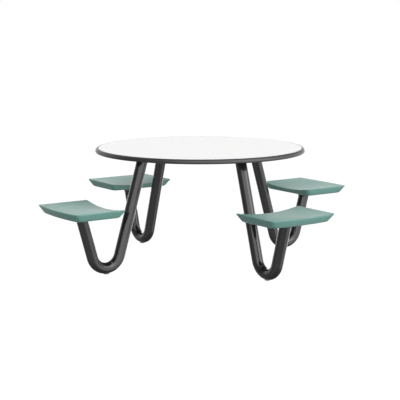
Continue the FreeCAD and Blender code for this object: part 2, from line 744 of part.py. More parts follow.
def check_document():
    """Stops with a message if an object failed or a sub-part has no sound shape."""
    for item in doc.Objects:
        if "Invalid" in item.State or "Error" in item.State:
            raise RuntimeError(f"{item.Label} failed: {item.State}")
    for node in nodes:
        if node.Shape.isNull() or not node.Shape.isValid():
            raise RuntimeError(f"{node.Label} has no valid shape")


doc = FreeCAD.newDocument("table_with_swivel_seats")
sizes = make_sheet("sizes", SIZES, formula=False)
places = make_sheet("places", PLACES, formula=True)
nodes = []

make_core()
make_laminate()
make_backer()
make_edge_band()
make_top_hardware()
make_retainers()
for station in STATIONS:
    make_leg_tube(station)
    make_mount_plate(station)
    make_glide(station)
    make_seat_plate(station)
    make_spindle(station)
    make_bushes(station)
    make_hub(station)
    make_seat(station)
    make_seat_screws(station)

doc.recompute()
check_document()
os.makedirs("parts", exist_ok=True)
for node in nodes:
    node.Shape.exportStep(f"parts/{node.Label}.step")
    print(node.Label, len(node.Shape.Solids), round(node.Shape.Volume))
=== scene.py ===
"""Looks of a round table with four swivel seats: mouldings, welds, fasteners, finishes and a studio."""

import math

import bmesh
import bpy
from bpy.props import FloatProperty, FloatVectorProperty, IntProperty, PointerProperty
from mathutils import Matrix, Vector


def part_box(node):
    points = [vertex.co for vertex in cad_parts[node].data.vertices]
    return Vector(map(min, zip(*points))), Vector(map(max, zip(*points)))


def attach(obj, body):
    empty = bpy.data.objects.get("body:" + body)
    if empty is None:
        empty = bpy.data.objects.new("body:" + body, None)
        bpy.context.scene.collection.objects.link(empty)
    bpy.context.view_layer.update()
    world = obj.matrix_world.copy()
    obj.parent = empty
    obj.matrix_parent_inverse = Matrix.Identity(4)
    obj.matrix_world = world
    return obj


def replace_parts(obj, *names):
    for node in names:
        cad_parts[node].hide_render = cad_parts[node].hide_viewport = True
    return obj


bl_info = {
    "name": "Swivel Seat Table",
    "version": (1, 0, 0),
    "blender": (4, 5, 0),
    "location": "View3D > Sidebar > Swivel Table",
    "description": "Mouldings, welds, fasteners and finishes of a round table with four swivel seats",
    "category": "Object",
}

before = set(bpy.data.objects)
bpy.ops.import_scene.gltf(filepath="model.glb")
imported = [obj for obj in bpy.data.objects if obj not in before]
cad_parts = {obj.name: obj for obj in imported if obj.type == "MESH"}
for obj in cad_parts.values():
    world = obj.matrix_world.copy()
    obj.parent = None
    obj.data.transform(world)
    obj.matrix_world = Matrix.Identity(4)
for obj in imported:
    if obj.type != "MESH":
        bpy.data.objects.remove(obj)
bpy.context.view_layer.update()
STATIONS = (1, 2, 3, 4)


def station_turn(station):
    """Turn about the middle of the table that brings the first leg to a station."""
    return Matrix.Rotation((station - 1) * math.tau / len(STATIONS), 4, "Z")


def at_stations(name):
    """Names of the like pieces at all the stations."""
    return [f"{name}_{station}" for station in STATIONS]


# Sizes and colours

class FinishColours(bpy.types.PropertyGroup):
    """Colours of the finishes, as linear values."""

    laminate: FloatVectorProperty(
        name="Laminate", description="Sheet on the top", subtype="COLOR", min=0, max=1,
        default=(0.566, 0.566, 0.564))
    band: FloatVectorProperty(
        name="Edge band", description="Rim of the top", subtype="COLOR", min=0, max=1,
        default=(0.010, 0.010, 0.0105))
    paint: FloatVectorProperty(
        name="Leg paint", description="Stoved paint on the tubes and plates", subtype="COLOR", min=0, max=1,
        default=(0.007, 0.007, 0.0072))
    seat: FloatVectorProperty(
        name="Seat", description="Moulded plastic of the seats", subtype="COLOR", min=0, max=1,
        default=(0.070, 0.166, 0.143))
    backer: FloatVectorProperty(
        name="Backer", description="Sheet under the top", subtype="COLOR", min=0, max=1,
        default=(0.19, 0.17, 0.15))
    board: FloatVectorProperty(
        name="Board", description="Chips of the core board", subtype="COLOR", min=0, max=1,
        default=(0.40, 0.26, 0.13))
    zinc: FloatVectorProperty(
        name="Zinc", description="Plated steel of the fasteners", subtype="COLOR", min=0, max=1,
        default=(0.58, 0.59, 0.61))
    glide: FloatVectorProperty(
        name="Glide", description="Nylon of the floor glides", subtype="COLOR", min=0, max=1,
        default=(0.022, 0.022, 0.023))
    bush: FloatVectorProperty(
        name="Bush", description="Nylon of the swivel bushes", subtype="COLOR", min=0, max=1,
        default=(0.66, 0.63, 0.55))


class DetailSizes(bpy.types.PropertyGroup):
    """Edge band, welds and fasteners."""

    band_shoulder: FloatProperty(
        name="Shoulder", description="Rounding of the edge band above", unit="LENGTH", default=0.018)
    band_under: FloatProperty(
        name="Under", description="Rounding of the edge band below", unit="LENGTH", default=0.008)
    tongue_depth: FloatProperty(
        name="Tongue depth", description="Reach of the edge band into the board", unit="LENGTH",
        default=0.008)
    tongue_height: FloatProperty(
        name="Tongue height", description="Height of the edge band's tongue", unit="LENGTH", default=0.005)
    band_steps: IntProperty(
        name="Band steps", description="Number of sections round the edge band", default=288, min=24)
    weld_leg: FloatProperty(
        name="Weld", description="Largest leg of the fillet weld at a tube's end", unit="LENGTH",
        default=0.0045)
    weld_ripple: FloatProperty(
        name="Ripple", description="Height of the ripples in a weld", unit="LENGTH", default=0.0004)
    weld_ripples: IntProperty(
        name="Ripples", description="Number of ripples round a tube", default=34, min=8)
    bolt_margin: FloatProperty(
        name="Bolt margin", description="From a leg bolt to the edge of its plate", unit="LENGTH",
        default=0.016)
    bolt_shank: FloatProperty(
        name="Bolt shank", description="Radius of a leg bolt's shank", unit="LENGTH", default=0.004)
    bolt_key: FloatProperty(
        name="Bolt key", description="Corner radius of the key socket in a leg bolt", unit="LENGTH",
        default=0.0029)
    screw_margin: FloatProperty(
        name="Screw margin", description="From a seat screw to the edge of the hub", unit="LENGTH",
        default=0.019)
    screw_shank: FloatProperty(
        name="Screw shank", description="Radius of a seat screw's shank", unit="LENGTH", default=0.003)
    screw_key: FloatProperty(
        name="Screw key", description="Corner radius of the key socket in a seat screw", unit="LENGTH",
        default=0.0023)


class SeatSizes(bpy.types.PropertyGroup):
    """Moulded seat."""

    depth: FloatProperty(
        name="Depth", description="From the table's side to the back corners", unit="LENGTH", default=0.349)
    width: FloatProperty(
        name="Width", description="Between the two sides", unit="LENGTH", default=0.483)
    bow: FloatProperty(
        name="Bow", description="How far the back curves out", unit="LENGTH", default=0.0164)
    side: FloatProperty(
        name="Side", description="Height of the sides at the corners", unit="LENGTH", default=0.049)
    taper: FloatProperty(
        name="Taper", description="How far the sides slope in towards the base", unit="LENGTH",
        default=0.0255)
    corner_above: FloatProperty(
        name="Corner above", description="Rounding of the corners at the top", unit="LENGTH", default=0.018)
    corner_below: FloatProperty(
        name="Corner below", description="Rounding of the corners at the base", unit="LENGTH", default=0.032)
    edge: FloatProperty(
        name="Edge", description="Rounding of the edge round the top", unit="LENGTH", default=0.0045)
    base: FloatProperty(
        name="Base", description="Rounding between the sides and the underside", unit="LENGTH",
        default=0.014)
    dish: FloatVectorProperty(
        name="Dish", description="Depth of the dish in front, in the middle and behind", unit="LENGTH",
        default=(0.025, 0.012, 0.001))
    rim: FloatProperty(
        name="Rim", description="Wall round the cored underside", unit="LENGTH", default=0.018)
    rib: FloatProperty(
        name="Rib", description="Ribs between the cored cells", unit="LENGTH", default=0.008)
    skin: FloatProperty(
        name="Skin", description="Plastic left above the cells", unit="LENGTH", default=0.010)
    cell_corner: FloatProperty(
        name="Cell corner", description="Rounding of the corners of a cell", unit="LENGTH", default=0.004)


class StageSizes(bpy.types.PropertyGroup):
    """Camera, lights and floor of the studio."""

    camera_place: FloatVectorProperty(
        name="Camera", description="Where the camera stands", subtype="XYZ", unit="LENGTH",
        default=(-4.280, -6.127, 1.5995))
    camera_aim: FloatVectorProperty(
        name="Aim", description="Point that the camera looks at", subtype="XYZ", unit="LENGTH",
        default=(0.0, 0.0, 0.373))
    lens: FloatProperty(
        name="Lens", description="Focal length in millimetres on a 36 mm sensor", default=105.7, min=20)
    rise: FloatProperty(
        name="Rise", description="Upward shift of the picture", default=0.0086)
    floor_radius: FloatProperty(
        name="Floor radius", description="Radius of the studio floor", unit="LENGTH", default=60.0)
    room_glow: FloatProperty(
        name="Room glow", description="Strength of the light from all round", default=0.42, min=0)
    ground_share: FloatProperty(
        name="Ground", description="Share of the light that comes from straight below", default=0.4,
        min=0, max=1)
    floor_white: FloatProperty(
        name="Floor white", description="How evenly white the floor looks to the camera", default=0.95,
        min=0, max=1)


class SwivelTable(bpy.types.PropertyGroup):
    """All settings of the table."""

    colours: PointerProperty(type=FinishColours)
    details: PointerProperty(type=DetailSizes)
    seats: PointerProperty(type=SeatSizes)
    stage: PointerProperty(type=StageSizes)


def settings():
    """Settings of the table in this scene."""
    return bpy.context.scene.swivel_table


# Nodes and groups

# Levels of a noise that count as its darkest and its lightest.
NOISE_RANGE = {"From Min": 0.25, "From Max": 0.75}


def add_node(tree, kind, inputs=None, **options):
    """A shader node with its options set, and its unlinked inputs by name or number."""
    node = tree.nodes.new(kind)
    for name, value in options.items():
        setattr(node, name, value)
    for name, value in (inputs or {}).items():
        node.inputs[name].default_value = value
    return node


def add_group(tree, group, vector, **values):
    """A shared group placed in a material with its own values."""
    node = tree.nodes.new("ShaderNodeGroup")
    node.node_tree = group
    tree.links.new(vector, node.inputs["Vector"])
    for name, value in values.items():
        node.inputs[name].default_value = value
    return node


def new_group(name, inputs, outputs):
    """An empty shader group with a vector, the named inputs and the named outputs."""
    group = bpy.data.node_groups.new(name, "ShaderNodeTree")
    group.interface.new_socket("Vector", in_out="INPUT", socket_type="NodeSocketVector")
    for socket, kind, value in inputs:
        item = group.interface.new_socket(socket, in_out="INPUT", socket_type=kind)
        item.default_value = value
    for socket, kind in outputs:
        group.interface.new_socket(socket, in_out="OUTPUT", socket_type=kind)
    return group, group.nodes.new("NodeGroupInput"), group.nodes.new("NodeGroupOutput")


def grain_group():
    """Even fine relief, such as orange peel in paint or the skin of a moulding."""
    name = "Fine grain"
    if name in bpy.data.node_groups:
        return bpy.data.node_groups[name]
    group, given, made = new_group(
        name,
        (("Scale", "NodeSocketFloat", 400.0), ("Detail", "NodeSocketFloat", 2.0)),
        (("Height", "NodeSocketFloat"),))
    noise = add_node(group, "ShaderNodeTexNoise", {"Roughness": 0.5})
    group.links.new(given.outputs["Vector"], noise.inputs["Vector"])
    group.links.new(given.outputs["Scale"], noise.inputs["Scale"])
    group.links.new(given.outputs["Detail"], noise.inputs["Detail"])
    group.links.new(noise.outputs["Fac"], made.inputs["Height"])
    return group


def drift_group():
    """Slow change of tone across a surface, and a roughness that goes with it."""
    name = "Tone drift"
    if name in bpy.data.node_groups:
        return bpy.data.node_groups[name]
    group, given, made = new_group(
        name,
        (("Scale", "NodeSocketFloat", 4.0), ("Colour", "NodeSocketColor", (0.5, 0.5, 0.5, 1.0)),
         ("Darker", "NodeSocketFloat", 0.94), ("Lighter", "NodeSocketFloat", 1.05),
         ("Smooth", "NodeSocketFloat", 0.30), ("Rough", "NodeSocketFloat", 0.40)),
        (("Colour", "NodeSocketColor"), ("Roughness", "NodeSocketFloat")))
    noise = add_node(group, "ShaderNodeTexNoise", {"Detail": 5.0, "Roughness": 0.6})
    group.links.new(given.outputs["Vector"], noise.inputs["Vector"])
    group.links.new(given.outputs["Scale"], noise.inputs["Scale"])
    tone = add_node(group, "ShaderNodeMapRange", NOISE_RANGE)
    group.links.new(noise.outputs["Fac"], tone.inputs["Value"])
    group.links.new(given.outputs["Darker"], tone.inputs["To Min"])
    group.links.new(given.outputs["Lighter"], tone.inputs["To Max"])
    scaled = add_node(group, "ShaderNodeVectorMath", operation="SCALE")
    group.links.new(given.outputs["Colour"], scaled.inputs[0])
    group.links.new(tone.outputs["Result"], scaled.inputs["Scale"])
    group.links.new(scaled.outputs["Vector"], made.inputs["Colour"])
    gloss = add_node(group, "ShaderNodeMapRange", NOISE_RANGE)
    group.links.new(noise.outputs["Fac"], gloss.inputs["Value"])
    group.links.new(given.outputs["Smooth"], gloss.inputs["To Min"])
    group.links.new(given.outputs["Rough"], gloss.inputs["To Max"])
    group.links.new(gloss.outputs["Result"], made.inputs["Roughness"])
    return group


# Finishes

def new_finish(name):
    """A material with its shader, and the surface's own coordinates."""
    material = bpy.data.materials.new(name)
    material.use_nodes = True
    tree = material.node_tree
    place = add_node(tree, "ShaderNodeTexCoord").outputs["Object"]
    return material, tree, tree.nodes["Principled BSDF"], place


def lay_drift(tree, shader, place, colour, **values):
    """Links a drifting tone and roughness to the shader."""
    drift = add_group(tree, drift_group(), place, Colour=(*colour, 1.0), **values)
    tree.links.new(drift.outputs["Colour"], shader.inputs["Base Color"])
    tree.links.new(drift.outputs["Roughness"], shader.inputs["Roughness"])


def lay_grain(tree, shader, place, depth, scale, detail=2.0):
    """Links a fine relief to the shader; the depth is in metres."""
    grain = add_group(tree, grain_group(), place, Scale=scale, Detail=detail)
    bump = add_node(tree, "ShaderNodeBump", {"Strength": 1.0, "Distance": depth})
    tree.links.new(grain.outputs["Height"], bump.inputs["Height"])
    tree.links.new(bump.outputs["Normal"], shader.inputs["Normal"])


def white_laminate():
    """Smooth white sheet with a faint pebble."""
    material, tree, shader, place = new_finish("white_laminate")
    lay_drift(tree, shader, place, settings().colours.laminate,
              Scale=3.0, Darker=0.985, Lighter=1.01, Smooth=0.66, Rough=0.76)
    lay_grain(tree, shader, place, depth=0.00002, scale=900.0)
    shader.inputs["Specular IOR Level"].default_value = 0.25
    return material


def band_vinyl():
    """Black rim with a slight grain."""
    material, tree, shader, place = new_finish("band_vinyl")
    lay_drift(tree, shader, place, settings().colours.band,
              Scale=6.0, Darker=0.85, Lighter=1.15, Smooth=0.38, Rough=0.44)
    lay_grain(tree, shader, place, depth=0.00003, scale=700.0, detail=3.0)
    return material


def leg_enamel():
    """Charcoal paint with a little orange peel and a clear gloss."""
    material, tree, shader, place = new_finish("leg_enamel")
    lay_drift(tree, shader, place, settings().colours.paint,
              Scale=5.0, Darker=0.95, Lighter=1.05, Smooth=0.10, Rough=0.14)
    lay_grain(tree, shader, place, depth=0.00001, scale=260.0)
    return material


def plate_enamel():
    """The same charcoal as a duller coat on the plates and hubs."""
    material, tree, shader, place = new_finish("plate_enamel")
    lay_drift(tree, shader, place, settings().colours.paint,
              Scale=12.0, Darker=0.80, Lighter=1.25, Smooth=0.38, Rough=0.48)
    lay_grain(tree, shader, place, depth=0.00003, scale=420.0, detail=3.0)
    return material


def seat_moulding():
    """Blue-green plastic with a satin moulded skin."""
    material, tree, shader, place = new_finish("seat_moulding")
    lay_drift(tree, shader, place, settings().colours.seat,
              Scale=7.0, Darker=0.95, Lighter=1.05, Smooth=0.41, Rough=0.47)
    lay_grain(tree, shader, place, depth=0.00003, scale=800.0, detail=3.0)
    return material


def backer_sheet():
    """Plain brown-grey balancing sheet."""
    material, tree, shader, place = new_finish("backer_sheet")
    lay_drift(tree, shader, place, settings().colours.backer,
              Scale=30.0, Darker=0.88, Lighter=1.10, Smooth=0.55, Rough=0.70)
    lay_grain(tree, shader, place, depth=0.00004, scale=500.0, detail=4.0)
    return material


def chip_board():
    """Pressed wood chips."""
    material, tree, shader, place = new_finish("chip_board")
    lay_drift(tree, shader, place, settings().colours.board,
              Scale=220.0, Darker=0.60, Lighter=1.35, Smooth=0.75, Rough=0.90)
    lay_grain(tree, shader, place, depth=0.0003, scale=300.0, detail=4.0)
    return material


def zinc_plate():
    """Bright plated steel with a faint cloudiness."""
    material, tree, shader, place = new_finish("zinc_plate")
    lay_drift(tree, shader, place, settings().colours.zinc,
              Scale=160.0, Darker=0.85, Lighter=1.10, Smooth=0.26, Rough=0.42)
    lay_grain(tree, shader, place, depth=0.00001, scale=1500.0)
    shader.inputs["Metallic"].default_value = 1.0
    return material


def glide_nylon():
    """Dull black nylon with a worn, uneven tone."""
    material, tree, shader, place = new_finish("glide_nylon")
    lay_drift(tree, shader, place, settings().colours.glide,
              Scale=60.0, Darker=0.85, Lighter=1.30, Smooth=0.45, Rough=0.62)
    lay_grain(tree, shader, place, depth=0.00004, scale=700.0, detail=3.0)
    return material


def bush_nylon():
    """Natural nylon, a little cloudy."""
    material, tree, shader, place = new_finish("bush_nylon")
    lay_drift(tree, shader, place, settings().colours.bush,
              Scale=80.0, Darker=0.95, Lighter=1.04, Smooth=0.34, Rough=0.44)
    lay_grain(tree, shader, place, depth=0.00002, scale=700.0)
    return material


def finish(make):
    """The material of a finish, made the first time that it is asked for."""
    return bpy.data.materials.get(make.__name__) or make()


def dress(make, *names):
    """Puts a finish on CAD nodes."""
    for name in names:
        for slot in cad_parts[name].material_slots:
            slot.material = finish(make)


# Pieces and rings of edges

# Edges that turn by more than this stay sharp.
SHARP_ANGLE = math.radians(40.0)
# Steps of a rounded corner in an outline.
CORNER_STEPS = 8


def link(thing):
    """Adds an object to the scene."""
    bpy.context.scene.collection.objects.link(thing)
    return thing


def new_piece(name, shape, make, body):
    """A finished piece made from its shape, riding on a body."""
    bmesh.ops.recalc_face_normals(shape, faces=shape.faces)
    mesh = bpy.data.meshes.new(name)
    shape.to_mesh(mesh)
    shape.free()
    mesh.shade_smooth()
    mesh.set_sharp_from_angle(angle=SHARP_ANGLE)
    mesh.materials.append(finish(make))
    piece = link(bpy.data.objects.new(name, mesh))
    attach(piece, body)
    return piece


def new_edges(shape, known):
    """Edges of a shape that aren't among the known ones."""
    return [edge for edge in shape.edges if edge not in known]


def ring_points(ring):
    """Points of a ring of edges."""
    return {point for edge in ring for point in edge.verts}


def round_ring(shape, radius, place, corners, cuts=0):
    """Ring of edges about an upright axis; cuts divide its sides so that a finer ring can join it."""
    known = set(shape.edges)
    bmesh.ops.create_circle(shape, segments=corners, radius=radius, matrix=Matrix.Translation(place))
    if cuts:
        bmesh.ops.subdivide_edges(shape, edges=new_edges(shape, known), cuts=cuts)
    return new_edges(shape, known)


def oval_ring(shape, half, place, corners):
    """Oval ring of edges in a level plane, with a half width along each axis."""
    known = set(shape.edges)
    size = Matrix.Diagonal((*half, 1.0, 1.0))
    bmesh.ops.create_circle(shape, segments=corners, radius=1.0, matrix=Matrix.Translation(place) @ size)
    return new_edges(shape, known)


def outline_ring(shape, points, level, corners, rounding):
    """Ring of edges through points in a level plane, with some of its corners rounded."""
    known_edges, known_faces = set(shape.edges), set(shape.faces)
    outline = shape.faces.new([shape.verts.new((x, y, level)) for x, y in points])
    bmesh.ops.bevel(shape, geom=[outline.verts[index] for index in corners], offset=rounding,
                    affect="VERTICES", segments=CORNER_STEPS, profile=0.5, material=-1)
    made = [face for face in shape.faces if face not in known_faces]
    bmesh.ops.delete(shape, geom=made, context="FACES_ONLY")
    return new_edges(shape, known_edges)


def extrude_ring(shape, ring):
    """New ring that starts at the old one, with walls between them; gives its points and its edges."""
    made = bmesh.ops.extrude_edge_only(shape, edges=ring)["geom"]
    points = {item for item in made if isinstance(item, bmesh.types.BMVert)}
    edges = [edge for edge in shape.edges if edge.verts[0] in points and edge.verts[1] in points]
    return points, edges


def join_rings(shape, rings):
    """Walls between rings that follow each other."""
    for before, after in zip(rings, rings[1:]):
        bmesh.ops.bridge_loops(shape, edges=before + after)


# Edge band

# Steps of the band's roundings below and above.
UNDER_STEPS = 8
SHOULDER_STEPS = 14


def make_band():
    """Moulded rim of the top, turned from its section, with a tongue in the board's groove."""
    sizes = settings().details
    low, high = (Vector(corner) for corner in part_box("edge_band"))
    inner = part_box("top_laminate")[1][0]
    tongue = inner - sizes.tongue_depth
    middle = (low.z + high.z) / 2
    under, over = middle - sizes.tongue_height / 2, middle + sizes.tongue_height / 2
    shape = bmesh.new()
    section = shape.faces.new([shape.verts.new((radius, 0.0, level)) for radius, level in (
        (inner, low.z), (high.x, low.z), (high.x, high.z), (inner, high.z),
        (inner, over), (tongue, over), (tongue, under), (inner, under))])
    corners = list(section.verts)
    for corner, rounding, steps in (
            (corners[1], sizes.band_under, UNDER_STEPS),
            (corners[2], sizes.band_shoulder, SHOULDER_STEPS)):
        bmesh.ops.bevel(shape, geom=[corner], offset=rounding, affect="VERTICES", segments=steps,
                        profile=0.5, material=-1)
    bmesh.ops.delete(shape, geom=shape.faces[:], context="FACES_ONLY")
    bmesh.ops.spin(shape, geom=shape.verts[:] + shape.edges[:], axis=(0.0, 0.0, 1.0), angle=math.tau,
                   steps=sizes.band_steps, use_merge=True)
    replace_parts(new_piece("moulded_band", shape, band_vinyl, "table"), "edge_band")


# Seats

# Steps along each of a seat's four sides, of the rounding round its base and of the edge round its top.
SIDE_STEPS = 6
BASE_STEPS = 8
EDGE_STEPS = 4
# Each ring of a seat's top as a share of the ring round it.
TOP_SHARES = (0.92, 0.85, 0.78, 0.68, 0.5)
# Cored cells along each side of the hub's pad.
SIDE_CELLS = 3
# Sides of the recess over the spindle and of a screw hole.
RECESS_SIDES = 48
HOLE_SIDES = 24
# Room round a seat screw, and room above the screws in a seat.
SCREW_FIT = 0.00005
HOLE_SPARE = 0.003


def side_turn():
    """Angle from a seat's underside round its base to the sloping side."""
    sizes = settings().seats
    return math.atan2(sizes.side, sizes.taper)


def base_inset():
    """How far the rounding of the base reaches in under a seat."""
    return settings().seats.base * math.tan(side_turn() / 2)


def seat_ring(shape, out, rounding, level):
    """Outline of a seat: straight towards the table and at both sides, bowed at the back."""
    sizes = settings().seats
    depth = sizes.depth / 2 - sizes.taper + out
    width = sizes.width / 2 - sizes.taper + out
    shares = [2 * step / SIDE_STEPS - 1 for step in range(SIDE_STEPS)]
    front = [(-depth, -width * share) for share in shares]
    left = [(depth * share, -width) for share in shares]
    back = [(depth + sizes.bow * (1 - share ** 2), width * share) for share in shares]
    right = [(-depth * share, width) for share in shares]
    points = front + left + back + right
    return outline_ring(shape, points, level, range(0, len(points), SIDE_STEPS), rounding)


def seat_walls(shape, low):
    """Rounded base and sloping sides of a seat; gives the rings round its underside and round its top."""
    sizes = settings().seats
    rings = []
    for step in range(BASE_STEPS + 1):
        angle = side_turn() * step / BASE_STEPS
        out = sizes.base * math.sin(angle) - base_inset()
        level = low + sizes.base * (1 - math.cos(angle))
        rings.append(seat_ring(shape, out, sizes.corner_below, level))
    rings.append(seat_ring(shape, sizes.taper, sizes.corner_above, low + sizes.side))
    join_rings(shape, rings)
    return rings[0], rings[-1]


def dish_drop(place):
    """How far a seat's top lies below its corners: a shallow trough that runs out towards the back."""
    sizes = settings().seats
    front, middle, back = sizes.dish
    reach = place.x / (sizes.depth / 2 + sizes.side)
    trough = middle + reach * (back - front) / 2 + reach ** 2 * ((front + back) / 2 - middle)
    return trough * (1 - (2 * place.y / sizes.width) ** 2)


def dish_top(shape, ring, high):
    """Lowers a seat's top ring along the sloping sides to the dish, and closes the top inside it."""
    for point in ring_points(ring):
        foot = next(edge.other_vert(point) for edge in point.link_edges if edge not in ring)
        rise = (high - dish_drop(point.co) - foot.co.z) / (high - foot.co.z)
        point.co = foot.co.lerp(point.co, rise)
    for share in TOP_SHARES:
        points, ring = extrude_ring(shape, ring)
        for point in points:
            point.co.xy *= share
            point.co.z = high - dish_drop(point.co)
    cap = bmesh.ops.edgeloop_fill(shape, edges=ring)["faces"]
    for point in bmesh.ops.poke(shape, faces=cap)["verts"]:
        point.co.z = high - dish_drop(point.co)


def cell_spans(pad):
    """Cored cells as left, right, first and last: one at each end of the hub's pad and a row at each side."""
    sizes = settings().seats
    margin = sizes.taper + base_inset() + sizes.rim
    end, side = sizes.depth / 2 - margin, sizes.width / 2 - margin
    near = pad + sizes.rib
    length = (2 * end - (SIDE_CELLS - 1) * sizes.rib) / SIDE_CELLS
    spans = [(near, end, -pad, pad), (-end, -near, -pad, pad)]
    for first, last in ((near, side), (-side, -near)):
        for step in range(SIDE_CELLS):
            left = step * (length + sizes.rib) - end
            spans.append((left, left + length, first, last))
    return spans


def seat_holes(shape, low):
    """Rings of the cored cells, the recess over the spindle and the screw holes, each with its top level."""
    sizes = settings().seats
    details = settings().details
    hub_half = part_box("swivel_hub_1")[1][1]
    ceiling = low + sizes.side - sizes.dish[0] - sizes.skin
    holes = []
    for left, right, first, last in cell_spans(hub_half + sizes.rib):
        points = ((left, first), (right, first), (right, last), (left, last))
        holes.append((outline_ring(shape, points, low, range(len(points)), sizes.cell_corner), ceiling))
    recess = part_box("upper_bush_1")[1][1] + sizes.rib
    ring = round_ring(shape, recess, (0.0, 0.0, low), RECESS_SIDES)
    holes.append((ring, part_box("retaining_screws")[1][2] + HOLE_SPARE))
    pitch = hub_half - details.screw_margin
    for x in (-pitch, pitch):
        for y in (-pitch, pitch):
            ring = round_ring(shape, details.screw_shank + SCREW_FIT, (x, y, low), HOLE_SIDES)
            holes.append((ring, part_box("seat_screws_1")[1][2] + HOLE_SPARE))
    return holes


def close_base(shape, rim, low):
    """Closes a seat's underside round its holes, and sinks each hole to its own level."""
    holes = seat_holes(shape, low)
    floor = rim + [edge for ring, level in holes for edge in ring]
    bmesh.ops.triangle_fill(shape, use_beauty=True, edges=floor, normal=(0.0, 0.0, -1.0))
    for ring, level in holes:
        points, edges = extrude_ring(shape, ring)
        bmesh.ops.translate(shape, verts=list(points), vec=(0.0, 0.0, level - low))
        bmesh.ops.edgeloop_fill(shape, edges=edges)


def make_seat(station):
    """Moulded seat with a dished top, sloping sides, soft corners and a cored underside."""
    sizes = settings().seats
    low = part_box("seat_shell_1")[0][2]
    shape = bmesh.new()
    base, top = seat_walls(shape, low)
    dish_top(shape, top, low + sizes.side)
    close_base(shape, base, low)
    bmesh.ops.bevel(shape, geom=top, offset=sizes.edge / math.tan(side_turn() / 2), affect="EDGES",
                    segments=EDGE_STEPS, profile=0.5, material=-1)
    hub_low, hub_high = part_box("swivel_hub_1")
    place = Matrix.Translation(((hub_low[0] + hub_high[0]) / 2, 0.0, 0.0))
    bmesh.ops.transform(shape, matrix=station_turn(station) @ place, verts=shape.verts[:])
    piece = new_piece(f"moulded_seat_{station}", shape, seat_moulding, f"seat_{station}")
    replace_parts(piece, f"seat_shell_{station}")


# Welds

# Section of a weld from the tube round to the plate: its reach and drop as shares of the leg, and its share
# of the ripple.
WELD_SECTION = ((-0.1, 1.0, 0.0), (0.40, 0.80, 1.0), (0.80, 0.40, 1.0), (1.0, 0.0, 0.0))
POINTS_PER_RIPPLE = 6


def weld_bead(shape, place, half, leg, slope, turn):
    """Rippled fillet round a leaning tube's end, under the plate that the end stands against."""
    sizes = settings().details
    rings = []
    for reach, drop, ripple in WELD_SECTION:
        middle = Vector(place) + Vector((slope * drop * leg, 0.0, -drop * leg))
        wider = [side + reach * leg for side in half]
        ring = oval_ring(shape, wider, middle, POINTS_PER_RIPPLE * sizes.weld_ripples)
        for point in ring_points(ring):
            way = (point.co - middle).normalized()
            wave = math.cos(sizes.weld_ripples * math.atan2(way.y, way.x))
            point.co += way * (ripple * wave * sizes.weld_ripple)
        rings.append(ring)
    join_rings(shape, rings + rings[:1])
    done = {point for ring in rings for point in ring_points(ring)}
    bmesh.ops.transform(shape, matrix=turn, verts=list(done))


def make_welds(station):
    """Welds between one leg's tube and its two plates."""
    low, high = (Vector(corner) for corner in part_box("leg_tube_1"))
    shape = bmesh.new()
    for plate, out, lean in (("leg_mount_plate_1", low.x, 1.0), ("seat_plate_1", high.x, -1.0)):
        near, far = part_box(plate)
        middle = (near[0] + far[0]) / 2
        half = (abs(out - middle), high.y)
        leg = min(settings().details.weld_leg, far[0] - middle - half[0])
        # A round tube cut at a slant ends in an oval, whose half widths give the lean of the tube.
        slope = lean * math.sqrt(half[0] ** 2 - half[1] ** 2) / half[1]
        weld_bead(shape, (middle, 0.0, near[2]), half, leg, slope, station_turn(station))
    new_piece(f"leg_welds_{station}", shape, leg_enamel, "table")


# Fasteners

# Radius of a leg bolt's head and height of a seat screw's head.
BOLT_HEAD = 0.007
SCREW_HEAD = 0.004
# Outline of a head, as shares of its radius and of its height above the lowest point.
HEAD_OUTLINE = ((0.62, 0.04), (0.88, 0.26), (1.0, 0.62), (1.0, 1.0))
# Key socket: its sides and the cuts in each, its floor and lip as shares of the head's height, and the
# radius of its chamfer as a share of its own.
KEY_SIDES = 6
KEY_CUTS = 3
KEY_FLOOR = 0.62
KEY_LIP = 0.03
KEY_CHAMFER = 1.12
# Length and radius of a screw's point, as shares of the shank's radius.
POINT_LENGTH = 0.3
POINT_RADIUS = 0.7


def socket_screw(shape, place, levels, head, shank, key):
    """Domed screw that hangs head down, with a key socket; levels are the head's two ends and the tip."""
    low, seat, tip = levels
    depth = seat - low
    rings = [round_ring(shape, key, (*place, low + rise * depth), KEY_SIDES, KEY_CUTS)
             for rise in (KEY_FLOOR, KEY_LIP)]
    bmesh.ops.edgeloop_fill(shape, edges=rings[0])
    outline = [(KEY_CHAMFER * key, low)]
    outline += [(wide * head, low + rise * depth) for wide, rise in HEAD_OUTLINE]
    outline += [(shank, seat), (shank, tip - POINT_LENGTH * shank), (POINT_RADIUS * shank, tip)]
    points = KEY_SIDES * (KEY_CUTS + 1)
    rings += [round_ring(shape, radius, (*place, level), points) for radius, level in outline]
    bmesh.ops.edgeloop_fill(shape, edges=rings[-1])
    join_rings(shape, rings)


def make_leg_bolts():
    """Bolts that hold the mounting plates to the top."""
    sizes = settings().details
    margin = sizes.bolt_margin
    low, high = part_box("leg_bolts")
    levels = (low[2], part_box("leg_bolt_washers")[0][2], high[2])
    shape = bmesh.new()
    for plate in at_stations("leg_mount_plate"):
        near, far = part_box(plate)
        for x in (near[0] + margin, far[0] - margin):
            for y in (near[1] + margin, far[1] - margin):
                socket_screw(shape, (x, y), levels, BOLT_HEAD, sizes.bolt_shank, sizes.bolt_key)
    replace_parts(new_piece("socket_bolts", shape, zinc_plate, "table"), "leg_bolts")


